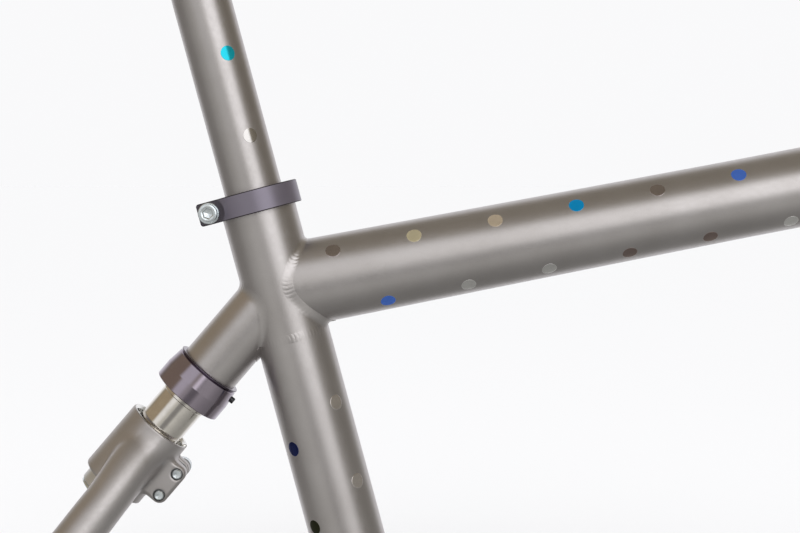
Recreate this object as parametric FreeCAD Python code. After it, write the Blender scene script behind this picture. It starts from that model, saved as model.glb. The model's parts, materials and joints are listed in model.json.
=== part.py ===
import FreeCAD, Part
import os
from math import atan, cos, pi, radians, sin, sqrt

# Seat cluster of a soft-tail bicycle frame: the joint where the seat tube, the top tube and a
# short sprung strut meet, with the clamped seatpost above and the strut's yoke and seat stays
# behind.  Millimetres.  +X points to the front of the bicycle, +Y to its left side, +Z up.
# The origin is the centre of the seat tube's cut lower mouth.

Vector = FreeCAD.Vector

# ---- driving dimensions: layout --------------------------------------------------------------
SEAT_TUBE_LEAN = 14.95       # degrees that the seat tube leans back from vertical
TOP_TUBE_RISE = 10.86        # degrees that the top tube climbs towards the front
STRUT_SLOPE = 49.34          # degrees that the strut falls towards the rear
NODE_HEIGHT = 140.0          # along the seat tube, from its lower mouth to where the axes meet

# ---- driving dimensions: tubes ---------------------------------------------------------------
SEAT_TUBE_R = 17.45          # 34.9 mm seat tube
SEATPOST_R = 13.6            # 27.2 mm seatpost
POST_GAP = 0.05              # radial running clearance of the seatpost
SLEEVE_TOP = 46.1            # machined sleeve, measured along the seat tube from the node
SLEEVE_FOOT = -23.3
THIN_WALL = 0.9
BUTT_WALL = 1.3              # thicker wall at the seat tube's lower end
BUTT_LENGTH = 35.0
SLOT_WIDTH = 3.0             # binder slot in the back of the sleeve
SLOT_FOOT = 25.0
POST_FOOT = -60.0
POST_TOP = 166.0
POST_WALL = 2.1
HEAD_SOCKET_R = 12.0         # socket for a saddle clamp head
HEAD_SOCKET_DEPTH = 30.0

TOP_TUBE_R = 18.55           # round front end
TOP_TUBE_TALL = 40.5         # height and width where it meets the seat tube
TOP_TUBE_WIDE = 33.7
TOP_TUBE_ROUND_FROM = 225.0  # distances along the top tube from the node
TOP_TUBE_END = 270.0

# ---- driving dimensions: welds -----------------------------------------------------------------
TOP_TUBE_WELD_R = 4.2        # fillets in the corners where tubes meet
HOUSING_WELD_R = 2.6
BEAD_HALF_WIDTH = 2.1        # low round bead between the sleeve and the thin tube
BEAD_CROWN = 0.4

# ---- driving dimensions: seat clamp ----------------------------------------------------------
BAND_FOOT = 36.8
BAND_TOP = 47.4
BAND_R = 20.6
BAND_LIP = 1.2               # inner lip that sits on the sleeve's top edge
CLAMP_BOLT_BACK = 21.84      # bolt axis behind the seat tube axis
LUG_TIP = 26.8
LUG_FACE = 11.0              # flat faces of the lugs, left and right of the mid-plane
SPOT_FACE_R = 7.8
CLAMP_SLIT = 2.5
LUG_CORNER_R = 1.3

# ---- driving dimensions: strut, distances along the strut from the node -----------------------
HOUSING_R = 14.3
HOUSING_BORE_R = 12.3
HOUSING_WALL_START = 30.0    # solid wall that carries the guide rod
HOUSING_WALL_END = 34.0
HOUSING_END = 62.0
COLLAR_START = 51.4
COLLAR_SHOULDER = 59.8       # cone above, cylinder below
COLLAR_END = 67.5
COLLAR_R = 17.4
BUSH_START = 55.5
BUSH_FLANGE = 2.0
SCRAPER_END = 70.2
SHAFT_R = 11.1
SHAFT_CLAMP_R = 12.7         # thicker part held by the yoke
SHAFT_START = 52.0
SHAFT_STEP = 92.0
SHAFT_END = 128.0
BULKHEAD_START = 98.0        # partition in the shaft that the spring pushes on
BULKHEAD_END = 102.0
STRUT_TRAVEL = 14.0
ROD_R = 3.0
SPRING_WIRE = 2.6
SPRING_OUTER_R = 8.2
SPRING_TURNS = 8.5

# ---- driving dimensions: yoke and stays --------------------------------------------------------
YOKE_R = 15.9
YOKE_START = 85.9
YOKE_END = 121.5
YOKE_RIM_BORE_R = 13.7
YOKE_RIM_DEPTH = 6.0
EAR_HALF_GAP = 2.5
EAR_FACE = 9.65
EAR_EDGE = 24.3              # outer edge of the ears from the strut axis
EAR_START = 93.1
EAR_END = 114.1
EAR_CORNER_R = 4.0
EAR_FILLET_R = 3.4
PINCH_BOLT_SIDE = 20.3
PINCH_BOLTS = (97.15, 110.15)
STAY_ROOT = 98.0             # where the stays' layout line starts on the strut
STAY_OFFSET = 2.0            # below the strut axis
STAY_TILT = 2.6              # degrees steeper than the strut
ARM_SIDE = 8.5               # an arm's axis at the barrel's skin: from the mid-plane
ARM_ALONG = 2.2              # and along the layout line
ARM_SPLAY = 38.0             # degrees outward at the barrel
STAY_SPLAY = 18.0            # degrees outward along the stays
ARM_BEND_R = 111.0
ARM_ROOT = 10.0              # length of the arm inside the barrel
ARM_TAIL = 17.0              # straight length between the bend and the stay
ARM_R = 9.7
STAY_R = 10.2
STAY_TAPER = 6.0
STAY_LENGTH = 22.0
SPIGOT_LENGTH = 8.0          # of the arm inside the stay
SPIGOT_GAP = 0.05

RIGHT, LEFT = -1, 1          # sides of the bicycle, as signs of Y

# ---- member frames -----------------------------------------------------------------------------
# In each member's own frame, +Z runs along the member away from the node and +Y is the row's +Y.
Y_AXIS = Vector(0, 1, 0)
lean = radians(SEAT_TUBE_LEAN)
node = Vector(-sin(lean), 0, cos(lean)) * NODE_HEIGHT


def member_frame(turn):
    return FreeCAD.Placement(node, FreeCAD.Rotation(Y_AXIS, turn))


seat_frame = member_frame(-SEAT_TUBE_LEAN)            # +X is the front of the seat tube
top_frame = member_frame(90.0 - TOP_TUBE_RISE)        # +X is the underside of the top tube
strut_frame = member_frame(-90.0 - STRUT_SLOPE)       # +X is the upper side of the strut
stay_frame = strut_frame.multiply(
    FreeCAD.Placement(Vector(-STAY_OFFSET, 0, STAY_ROOT), FreeCAD.Rotation(Y_AXIS, -STAY_TILT)))


def placed(shape, frame):
    moved = shape.copy()
    moved.transformShape(frame.toMatrix(), True)
    return moved


def save(name, shape):
    solids = shape.Solids
    whole = solids[0] if len(solids) == 1 else Part.makeCompound(solids)
    whole.exportStep(os.path.join("parts", name + ".step"))
    print(name, "solids", len(solids), "valid", whole.isValid(), "volume %.0f" % whole.Volume)


# ---- shape helpers -------------------------------------------------------------------------------
def rod(radius, start, end):
    return Part.makeCylinder(radius, end - start, Vector(0, 0, start))


def tube(outer, inner, start, end):
    return rod(outer, start, end).cut(rod(inner, start - 1, end + 1))


def turned(*outline):
    """A solid turned about Z from its (radius, z) outline."""
    points = [Vector(radius, 0, z) for radius, z in outline]
    face = Part.Face(Part.makePolygon(points + points[:1]))
    return face.revolve(Vector(0, 0, 0), Vector(0, 0, 1), 360)


def box(x0, x1, y0, y1, z0, z1):
    return Part.makeBox(x1 - x0, y1 - y0, z1 - z0, Vector(x0, y0, z0))


def cross_pin(radius, x, z, y0, y1):
    """A cylinder along Y, across a member."""
    return Part.makeCylinder(radius, y1 - y0, Vector(x, y0, z), Y_AXIS)


def hexagon(across_flats, start, end):
    """A hexagonal prism along Z, for the key sockets."""
    corner = across_flats / sqrt(3)
    points = [Vector(corner * cos(i * pi / 3), corner * sin(i * pi / 3), start) for i in range(7)]
    return Part.Face(Part.makePolygon(points)).extrude(Vector(0, 0, end - start))


def cap_screw(shank_r, length, head_r, head_height, key, key_depth):
    """A socket head screw: shank from z = 0 down to -length, head above z = 0."""
    edge = 0.12 * head_r
    screw = turned((0, -length), (shank_r - 0.4, -length), (shank_r, 0.4 - length), (shank_r, 0),
                   (head_r, 0), (head_r, head_height - edge), (head_r - edge, head_height),
                   (0, head_height))
    return screw.cut(hexagon(key, head_height - key_depth, head_height + 1))


# ---- tubes ---------------------------------------------------------------------------------------
def seat_tube_solid():
    """The seat tube's full outer cylinder, used to cope the tubes that join it."""
    return placed(rod(SEAT_TUBE_R, -NODE_HEIGHT - 1, SLEEVE_TOP), seat_frame)


def make_seat_tube_sleeve():
    sleeve = tube(SEAT_TUBE_R, SEATPOST_R + POST_GAP, SLEEVE_FOOT, SLEEVE_TOP)
    slot = box(-SEAT_TUBE_R - 1, -5, -SLOT_WIDTH / 2, SLOT_WIDTH / 2, SLOT_FOOT, SLEEVE_TOP + 1)
    stop_hole = Part.makeCylinder(0.85 * SLOT_WIDTH, SEAT_TUBE_R - 4,
                                  Vector(-5, 0, SLOT_FOOT), Vector(-1, 0, 0))
    return placed(sleeve.cut(slot).cut(stop_hole), seat_frame)


def make_seat_tube_lower():
    inner = SEAT_TUBE_R - THIN_WALL
    butt = SEAT_TUBE_R - BUTT_WALL
    butt_top = -NODE_HEIGHT + BUTT_LENGTH
    wall = turned((butt, -NODE_HEIGHT), (SEAT_TUBE_R, -NODE_HEIGHT), (SEAT_TUBE_R, SLEEVE_FOOT),
                  (inner, SLEEVE_FOOT), (inner, butt_top + 4), (butt, butt_top))
    return placed(wall, seat_frame)


def top_tube_skin(inset):
    """The top tube's surface, moved in by inset: an upright oval that turns round."""
    tall = TOP_TUBE_TALL / 2 - inset
    wide = TOP_TUBE_WIDE / 2 - inset
    end_r = TOP_TUBE_R - inset
    oval = Part.Ellipse(Vector(tall, 0, 0), Vector(0, wide, 0), Vector(0, 0, 0)).toShape()
    round_end = Part.Circle(Vector(0, 0, TOP_TUBE_ROUND_FROM), Vector(0, 0, 1), end_r).toShape()
    drawn = Part.makeLoft([Part.Wire(oval), Part.Wire(round_end)], True, True)
    return drawn.fuse(rod(end_r, TOP_TUBE_ROUND_FROM, TOP_TUBE_END))


def make_top_tube():
    blank = top_tube_skin(0).cut(top_tube_skin(THIN_WALL))
    coped = placed(blank, top_frame).cut(seat_tube_solid())
    return max(coped.Solids, key=lambda solid: solid.Volume)


def make_strut_housing():
    body = rod(HOUSING_R, 0, HOUSING_END)
    body = body.cut(rod(HOUSING_BORE_R, HOUSING_WALL_END, HOUSING_END + 1))
    body = body.cut(rod(HOUSING_BORE_R, -1, HOUSING_WALL_START))
    body = body.cut(rod(ROD_R + 0.03, HOUSING_WALL_START - 1, HOUSING_WALL_END + 1))
    coped = placed(body, strut_frame).cut(seat_tube_solid())
    return max(coped.Solids, key=lambda solid: solid.Volume)


def make_seatpost():
    outer = rod(SEATPOST_R, POST_FOOT, POST_TOP)
    bore = rod(SEATPOST_R - POST_WALL, POST_FOOT - 1, POST_TOP + 1)
    socket = rod(HEAD_SOCKET_R, POST_TOP - HEAD_SOCKET_DEPTH, POST_TOP + 1)
    return placed(outer.cut(bore).cut(socket), seat_frame)


# ---- welds ---------------------------------------------------------------------------------------
def fillet_ring(first, second, radius):
    """The weld metal in the corner between two joined solids."""
    joined = first.fuse(second)
    first_faces = [face for face in joined.Faces if lies_on(face, first)]
    second_faces = [face for face in joined.Faces if lies_on(face, second)]
    seam = [edge for edge in joined.Edges
            if any(has_edge(face, edge) for face in first_faces)
            and any(has_edge(face, edge) for face in second_faces)]
    rounded = joined.makeFillet(radius, seam)
    weld = rounded.cut(first).cut(second)
    return max(weld.Solids, key=lambda solid: solid.Volume)


def lies_on(face, solid):
    """True if the face is a piece of the solid's skin."""
    u0, u1, v0, v1 = face.ParameterRange
    for share in (0.5, 0.35, 0.65, 0.2, 0.8):
        point = face.valueAt(u0 + share * (u1 - u0), v0 + share * (v1 - v0))
        vertex = Part.Vertex(point)
        if face.distToShape(vertex)[0] < 1e-4:
            return min(skin.distToShape(vertex)[0] for skin in solid.Faces) < 1e-4
    return False


def has_edge(face, edge):
    return any(edge.isSame(other) for other in face.Edges)


def make_top_tube_weld():
    skin = placed(top_tube_skin(0), top_frame)
    return fillet_ring(seat_tube_solid(), skin, TOP_TUBE_WELD_R)


def make_strut_housing_weld():
    skin = placed(rod(HOUSING_R, 0, HOUSING_END), strut_frame)
    return fillet_ring(seat_tube_solid(), skin, HOUSING_WELD_R)


def make_seat_tube_weld():
    """A low crowned bead round the seam between the sleeve and the thin tube."""
    bulge_r = (BEAD_HALF_WIDTH ** 2 + BEAD_CROWN ** 2) / (2 * BEAD_CROWN)
    centre = SEAT_TUBE_R + BEAD_CROWN - bulge_r
    edge_angle = atan(BEAD_HALF_WIDTH / (bulge_r - BEAD_CROWN))
    steps = 6
    angles = [(i / steps - 1) * edge_angle for i in range(2 * steps + 1)]
    crest = [(max(SEAT_TUBE_R, centre + bulge_r * cos(a)), SLEEVE_FOOT + bulge_r * sin(a))
             for a in angles]
    bead = placed(turned(*crest), seat_frame)
    bead = bead.cut(placed(rod(HOUSING_R + HOUSING_WELD_R, 0, HOUSING_END), strut_frame))
    bead = bead.cut(placed(top_tube_skin(-1.1 * TOP_TUBE_WELD_R), top_frame))
    return max(bead.Solids, key=lambda solid: solid.Volume)


# ---- seat clamp ----------------------------------------------------------------------------------
BAND_MIDDLE = (BAND_FOOT + BAND_TOP) / 2


def make_seat_clamp_band():
    edge = 0.35
    band = turned((12, BAND_FOOT), (BAND_R - edge, BAND_FOOT), (BAND_R, BAND_FOOT + edge),
                  (BAND_R, BAND_TOP - edge), (BAND_R - edge, BAND_TOP), (12, BAND_TOP))
    lugs = box(-LUG_TIP, -10, -LUG_FACE, LUG_FACE, BAND_FOOT, BAND_TOP)
    tip_edges = [e for e in lugs.Edges
                 if abs(e.CenterOfMass.x + LUG_TIP) < 1e-6 and abs(e.CenterOfMass.y) < 1e-6]
    band = band.fuse(lugs.makeFillet(LUG_CORNER_R, tip_edges))
    for side in (-1, 1):
        inner, outer = sorted((side * LUG_FACE, side * (BAND_R + 5)))
        band = band.cut(cross_pin(SPOT_FACE_R, -CLAMP_BOLT_BACK, BAND_MIDDLE, inner, outer))
    band = band.cut(rod(SEAT_TUBE_R + 0.05, BAND_FOOT - 1, BAND_TOP - BAND_LIP))
    band = band.cut(rod(SEATPOST_R + 0.4, BAND_TOP - BAND_LIP - 1, BAND_TOP + 1))
    band = band.cut(box(-LUG_TIP - 1, -8, -CLAMP_SLIT / 2, CLAMP_SLIT / 2,
                        BAND_FOOT - 1, BAND_TOP + 1))
    band = band.cut(cross_pin(2.6, -CLAMP_BOLT_BACK, BAND_MIDDLE, -LUG_FACE - 1, 0))
    band = band.cut(cross_pin(2.5, -CLAMP_BOLT_BACK, BAND_MIDDLE, 0, LUG_FACE + 1))
    return placed(band, seat_frame)


WASHER_THICK = 1.0


def on_clamp_bolt(shape):
    """Turns a piece made about Z so that +Z points out of the right-hand lug face."""
    seat = Vector(-CLAMP_BOLT_BACK, -LUG_FACE, BAND_MIDDLE)
    out = FreeCAD.Placement(seat, FreeCAD.Rotation(Vector(1, 0, 0), 90))
    return placed(shape, seat_frame.multiply(out))


def make_seat_clamp_washer():
    return on_clamp_bolt(turned((2.65, 0), (5.0, 0), (5.0, 0.75), (4.75, WASHER_THICK),
                                (2.65, WASHER_THICK)))


def make_seat_clamp_bolt():
    screw = cap_screw(2.47, 2 * LUG_FACE + WASHER_THICK - 1, 4.25, 4.4, 4.0, 2.4)
    screw.translate(Vector(0, 0, WASHER_THICK))
    return on_clamp_bolt(screw)


# ---- strut pieces fixed to the front frame --------------------------------------------------------
SET_SCREW_AT = 55.4


def make_strut_collar():
    lip_r = 12.75
    collar = turned((HOUSING_R + 0.05, COLLAR_START), (15.3, COLLAR_START),
                    (16.4, COLLAR_START + 0.9), (COLLAR_R, COLLAR_SHOULDER),
                    (COLLAR_R, COLLAR_END - 0.3), (COLLAR_R - 0.3, COLLAR_END),
                    (lip_r, COLLAR_END), (lip_r, HOUSING_END + BUSH_FLANGE + 0.05),
                    (HOUSING_R + 0.05, HOUSING_END + BUSH_FLANGE + 0.05))
    screw_hole = Part.makeCylinder(1.55, COLLAR_R, Vector(0, 0, SET_SCREW_AT), Vector(-1, 0, 0))
    return placed(collar.cut(screw_hole), strut_frame)


def make_collar_lock_ring():
    ring = turned((HOUSING_R + 0.08, 50.5), (16.1, 50.5), (16.4, 50.7), (16.4, 51.1),
                  (16.1, COLLAR_START - 0.05), (HOUSING_R + 0.08, COLLAR_START - 0.05))
    return placed(ring, strut_frame)


def make_collar_set_screw():
    length = 4.1
    grub = turned((0, 0), (1.1, 0), (1.5, 0.5), (1.5, length - 0.25), (1.25, length), (0, length))
    grub = grub.cut(hexagon(1.5, length - 1.4, length + 1))
    out = FreeCAD.Placement(Vector(-HOUSING_R - 0.1, 0, SET_SCREW_AT),
                            FreeCAD.Rotation(Y_AXIS, -90))
    return placed(grub, strut_frame.multiply(out))


def make_lower_guide_bush():
    inner = SHAFT_R + 0.04
    outer = HOUSING_BORE_R - 0.02
    bush = turned((inner, BUSH_START), (outer - 0.4, BUSH_START), (outer, BUSH_START + 0.5),
                  (outer, HOUSING_END), (HOUSING_R - 0.1, HOUSING_END),
                  (HOUSING_R - 0.1, HOUSING_END + BUSH_FLANGE), (inner, HOUSING_END + BUSH_FLANGE))
    return placed(bush, strut_frame)


def make_scraper_ring():
    start = HOUSING_END + BUSH_FLANGE + 0.05
    lip_r = SHAFT_R + 0.45
    ring = turned((SHAFT_R + 0.06, start), (12.7, start), (12.7, COLLAR_END - 0.1),
                  (lip_r, COLLAR_END + 0.1), (lip_r, SCRAPER_END - 0.3),
                  (SHAFT_R + 0.2, SCRAPER_END), (SHAFT_R + 0.06, SCRAPER_END))
    return placed(ring, strut_frame)


def make_spring_seat():
    hole = ROD_R + 0.1
    flange_end = HOUSING_WALL_END + 2.0
    spigot_r = SPRING_OUTER_R - SPRING_WIRE - 0.3
    seat = turned((hole, HOUSING_WALL_END), (8.5, HOUSING_WALL_END), (8.5, flange_end),
                  (spigot_r, flange_end), (spigot_r, flange_end + 5), (spigot_r - 1, flange_end + 6),
                  (hole, flange_end + 6))
    return placed(seat, strut_frame)


def make_bottom_out_bumper():
    start = HOUSING_WALL_END + 0.05
    end = SHAFT_START - STRUT_TRAVEL - 0.3
    ring = turned((8.9, start), (11.9, start), (12.1, start + 0.6), (11.7, (start + end) / 2),
                  (12.1, end - 0.6), (11.6, end), (9.1, end))
    return placed(ring, strut_frame)


ROD_HEAD_AT = 105.2
ROD_HEAD_HEIGHT = 3.6        # low, so that it stays clear of the end plug at full travel


def make_guide_rod():
    length = ROD_HEAD_AT - HOUSING_WALL_START + 0.2
    screw = cap_screw(ROD_R, length, 5.0, ROD_HEAD_HEIGHT, 5.0, 2.0)
    screw.translate(Vector(0, 0, ROD_HEAD_AT))
    return placed(screw, strut_frame)


def make_top_out_bumper():
    start = BULKHEAD_END + 0.1
    end = ROD_HEAD_AT - 0.05
    washer = turned((ROD_R + 0.1, start), (6.6, start), (7.0, start + 0.5), (7.0, end - 0.5),
                    (6.6, end), (ROD_R + 0.1, end))
    return placed(washer, strut_frame)


def make_coil_spring():
    start = HOUSING_WALL_END + 2.05
    end = BULKHEAD_START - 0.05
    coil_r = SPRING_OUTER_R - SPRING_WIRE / 2
    pitch = (end - start) / SPRING_TURNS
    path = Part.makeHelix(pitch, (SPRING_TURNS + 1) * pitch, coil_r)
    path.translate(Vector(0, 0, start - pitch / 2))
    rise = atan(pitch / (2 * pi * coil_r))
    section = Part.Circle(Vector(coil_r, 0, start - pitch / 2), Vector(0, cos(rise), sin(rise)),
                          SPRING_WIRE / 2)
    wire = Part.Wire(path).makePipeShell([Part.Wire(section.toShape())], True, True)
    ground = wire.common(box(-10, 10, -10, 10, start, end))
    return placed(ground, strut_frame)


# ---- strut pieces that move with the rear ----------------------------------------------------------
def make_strut_shaft():
    bore_r = SPRING_OUTER_R + 0.4
    lower_bore_r = SHAFT_CLAMP_R - 3.0
    groove_r = SHAFT_R - 0.5
    shaft = turned((bore_r, SHAFT_START), (SHAFT_R - 0.4, SHAFT_START),
                   (SHAFT_R, SHAFT_START + 0.4), (SHAFT_R, SHAFT_START + 0.8),
                   (groove_r, SHAFT_START + 0.8), (groove_r, SHAFT_START + 3.2),
                   (SHAFT_R, SHAFT_START + 3.2), (SHAFT_R, SHAFT_STEP),
                   (SHAFT_CLAMP_R, SHAFT_STEP + 1.6), (SHAFT_CLAMP_R, SHAFT_END - 0.5),
                   (SHAFT_CLAMP_R - 0.5, SHAFT_END), (lower_bore_r, SHAFT_END),
                   (lower_bore_r, BULKHEAD_END), (ROD_R + 0.4, BULKHEAD_END),
                   (ROD_R + 0.4, BULKHEAD_START), (bore_r, BULKHEAD_START))
    return placed(shaft, strut_frame)


def make_shaft_glide_ring():
    ring = tube(HOUSING_BORE_R - 0.05, SHAFT_R - 0.47, SHAFT_START + 0.85, SHAFT_START + 3.15)
    split = box(0, 20, -0.4, 0.4, SHAFT_START, SHAFT_START + 4)
    return placed(ring.cut(split), strut_frame)


def make_shaft_end_plug():
    inner = SHAFT_CLAMP_R - 3.03
    start = SHAFT_END - 4.4
    plug = turned((0, start), (inner - 0.5, start), (inner, start + 0.5),
                  (inner, SHAFT_END + 0.03), (12.3, SHAFT_END + 0.03), (12.3, SHAFT_END + 1.0),
                  (11.8, SHAFT_END + 1.5), (0, SHAFT_END + 1.5))
    return placed(plug.cut(hexagon(8.0, SHAFT_END - 2.5, SHAFT_END + 2)), strut_frame)


# ---- yoke and stays ---------------------------------------------------------------------------------
def ear_outline():
    """Both ears before the gap is cut: a plate with round outer corners and filleted roots."""
    plate = box(-EAR_EDGE, -11, -EAR_FACE, EAR_FACE, EAR_START, EAR_END)
    corners = [e for e in plate.Edges
               if abs(e.CenterOfMass.x + EAR_EDGE) < 1e-6 and abs(e.CenterOfMass.y) < 1e-6]
    plate = plate.makeFillet(EAR_CORNER_R, corners)
    root = YOKE_R + 0.5 + EAR_FILLET_R
    for edge, away in ((EAR_START, -1), (EAR_END, 1)):
        low, high = sorted((edge, edge + away * EAR_FILLET_R))
        filler = box(-root, -11, -EAR_FACE, EAR_FACE, low, high)
        hollow = cross_pin(EAR_FILLET_R, -root, edge + away * EAR_FILLET_R, -EAR_FACE, EAR_FACE)
        plate = plate.fuse(filler.cut(hollow))
    return plate


# The left arm's line in the stay frame: straight inside the barrel, then one bend to the stay.
splay_start, splay_end = radians(ARM_SPLAY), radians(STAY_SPLAY)
arm_start = Vector(0, ARM_SIDE, ARM_ALONG)
arm_line = Vector(0, sin(splay_start), cos(splay_start))
bend_centre = arm_start + Vector(0, -cos(splay_start), sin(splay_start)) * ARM_BEND_R
bend_end = bend_centre + Vector(0, cos(splay_end), -sin(splay_end)) * ARM_BEND_R
stay_line = Vector(0, sin(splay_end), cos(splay_end))
stay_start = bend_end + stay_line * ARM_TAIL


def on_side(shape, side):
    """A left-hand shape in the stay frame, mirrored for the right-hand side, in the row frame."""
    return placed(shape if side == LEFT else shape.mirror(Vector(0, 0, 0), Y_AXIS), stay_frame)


def make_arm():
    """The left arm: root, bend, tail and the spigot that the stay slides over."""
    root = Part.makeCylinder(ARM_R, ARM_ROOT, arm_start - arm_line * ARM_ROOT, arm_line)
    section = Part.Face(Part.Wire(Part.Circle(arm_start, arm_line, ARM_R).toShape()))
    bend = section.revolve(bend_centre, Vector(1, 0, 0), ARM_SPLAY - STAY_SPLAY)
    tail = Part.makeCylinder(ARM_R, ARM_TAIL, bend_end, stay_line)
    spigot = Part.makeCylinder(ARM_R - THIN_WALL - SPIGOT_GAP, SPIGOT_LENGTH, stay_start, stay_line)
    return root.fuse(bend).fuse(tail).fuse(spigot)


def make_yoke():
    edge = 1.1
    barrel = turned((0, YOKE_START), (YOKE_R - 0.7, YOKE_START), (YOKE_R, YOKE_START + 0.7),
                    (YOKE_R, YOKE_END - edge), (YOKE_R - edge, YOKE_END), (0, YOKE_END))
    yoke = placed(barrel.fuse(ear_outline()), strut_frame)
    for side in (RIGHT, LEFT):
        yoke = yoke.fuse(on_side(make_arm(), side))
    bore = rod(SHAFT_CLAMP_R + 0.04, YOKE_START - 1, YOKE_END + 12)
    bore = bore.fuse(rod(YOKE_RIM_BORE_R, YOKE_START - 1, YOKE_START + YOKE_RIM_DEPTH))
    slit = box(-EAR_EDGE - 1, -9, -EAR_HALF_GAP, EAR_HALF_GAP, YOKE_START - 1, YOKE_END + 1)
    cuts = [bore, slit]
    for at in PINCH_BOLTS:
        cuts.append(cross_pin(2.5, -PINCH_BOLT_SIDE, at, -EAR_FACE - 1, 0))
        cuts.append(cross_pin(2.75, -PINCH_BOLT_SIDE, at, 0, EAR_FACE + 1))
    for cut in cuts:
        yoke = yoke.cut(placed(cut, strut_frame))
    return yoke


def make_pinch_bolts():
    bolts = []
    for at in PINCH_BOLTS:
        screw = cap_screw(2.47, 2 * EAR_FACE - 0.1, 4.2, 4.6, 4.0, 2.4)
        seat = Vector(-PINCH_BOLT_SIDE, EAR_FACE, at)
        out = FreeCAD.Placement(seat, FreeCAD.Rotation(Vector(1, 0, 0), -90))
        bolts.append(placed(screw, strut_frame.multiply(out)))
    return Part.makeCompound(bolts)


def make_seat_stay(side):
    bore_start = ARM_R - THIN_WALL
    bore_end = STAY_R - THIN_WALL
    taper_start = SPIGOT_LENGTH + 1
    stay = turned((bore_start, 0.02), (ARM_R, 0.02), (STAY_R, STAY_TAPER), (STAY_R, STAY_LENGTH),
                  (bore_end, STAY_LENGTH), (bore_end, taper_start + 2), (bore_start, taper_start))
    turn = FreeCAD.Rotation(Vector(0, 0, 1), stay_line)
    return on_side(placed(stay, FreeCAD.Placement(stay_start, turn)), side)


# ---- export --------------------------------------------------------------------------------------------
os.makedirs("parts", exist_ok=True)
save("seat_tube_sleeve", make_seat_tube_sleeve())
save("seat_tube_lower", make_seat_tube_lower())
save("top_tube", make_top_tube())
save("strut_housing", make_strut_housing())
save("seatpost", make_seatpost())
save("top_tube_weld", make_top_tube_weld())
save("strut_housing_weld", make_strut_housing_weld())
save("seat_tube_weld", make_seat_tube_weld())
save("seat_clamp_band", make_seat_clamp_band())
save("seat_clamp_washer", make_seat_clamp_washer())
save("seat_clamp_bolt", make_seat_clamp_bolt())
save("strut_collar", make_strut_collar())
save("collar_lock_ring", make_collar_lock_ring())
save("collar_set_screw", make_collar_set_screw())
save("lower_guide_bush", make_lower_guide_bush())
save("scraper_ring", make_scraper_ring())
save("spring_seat", make_spring_seat())
save("bottom_out_bumper", make_bottom_out_bumper())
save("guide_rod", make_guide_rod())
save("top_out_bumper", make_top_out_bumper())
save("coil_spring", make_coil_spring())
save("strut_shaft", make_strut_shaft())
save("shaft_glide_ring", make_shaft_glide_ring())
save("shaft_end_plug", make_shaft_end_plug())
save("yoke", make_yoke())
save("pinch_bolts", make_pinch_bolts())
save("seat_stay_right", make_seat_stay(RIGHT))
save("seat_stay_left", make_seat_stay(LEFT))
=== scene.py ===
import json
from math import cos, pi, radians, sin

import bmesh
import bpy
import numpy as np
import openvdb
from mathutils import Euler, Matrix, Vector


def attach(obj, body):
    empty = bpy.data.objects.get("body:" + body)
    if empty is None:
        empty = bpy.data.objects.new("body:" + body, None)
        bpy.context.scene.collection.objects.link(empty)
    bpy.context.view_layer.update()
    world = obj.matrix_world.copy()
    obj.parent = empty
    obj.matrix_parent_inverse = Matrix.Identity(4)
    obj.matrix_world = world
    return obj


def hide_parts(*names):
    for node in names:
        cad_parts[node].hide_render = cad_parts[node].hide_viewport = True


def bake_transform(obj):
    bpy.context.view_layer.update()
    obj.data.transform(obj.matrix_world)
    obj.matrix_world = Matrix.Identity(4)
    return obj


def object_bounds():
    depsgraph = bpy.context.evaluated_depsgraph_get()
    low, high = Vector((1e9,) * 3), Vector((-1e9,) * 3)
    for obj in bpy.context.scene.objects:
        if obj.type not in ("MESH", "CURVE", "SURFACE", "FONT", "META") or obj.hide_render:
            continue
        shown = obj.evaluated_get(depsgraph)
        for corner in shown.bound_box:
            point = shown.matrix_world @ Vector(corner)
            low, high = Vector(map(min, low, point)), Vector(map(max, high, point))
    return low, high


# Looks of a bicycle frame's seat cluster: bead-blasted titanium tubes with polished dots, smooth
# hand-laid welds, dark anodised clamp and collar, polished strut shaft and a bolted yoke.
# Shapes are drawn in millimetres in the frame of the member they sit on, where +Z runs along the
# member away from the point where all the tube axes meet, and are turned into metres by `piece`.

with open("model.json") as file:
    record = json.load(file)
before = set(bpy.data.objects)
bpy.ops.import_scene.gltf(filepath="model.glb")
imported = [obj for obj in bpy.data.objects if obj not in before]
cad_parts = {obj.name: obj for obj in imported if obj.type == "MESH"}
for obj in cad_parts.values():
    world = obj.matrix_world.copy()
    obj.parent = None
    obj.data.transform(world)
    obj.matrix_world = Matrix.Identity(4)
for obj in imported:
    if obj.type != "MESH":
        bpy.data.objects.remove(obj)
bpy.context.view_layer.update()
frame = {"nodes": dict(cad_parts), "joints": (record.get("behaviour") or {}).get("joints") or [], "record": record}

MM = 0.001
record = frame["record"]
joints = {joint["name"]: joint for joint in frame["joints"]}
mounts = {mount["name"]: mount for mount in record["mounts"]}


# ---- member frames, from the joints' axes and the mounts ----
def member_frame(origin, along):
    """Row frame from a member's own frame, with millimetres turned into metres."""
    z_axis = Vector(along).normalized()
    y_axis = Vector((0, 1, 0))
    x_axis = y_axis.cross(z_axis)
    turn = Matrix((x_axis, y_axis, z_axis)).transposed().to_4x4()
    return Matrix.Translation(origin) @ turn @ Matrix.Scale(MM, 4)


def crossing(point_a, along_a, point_b, along_b):
    """Where two lines in the mid-plane meet."""
    gap = point_b - point_a
    slant = along_a.x * along_b.z - along_a.z * along_b.x
    return point_a + (gap.x * along_b.z - gap.z * along_b.x) / slant * along_a


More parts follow.
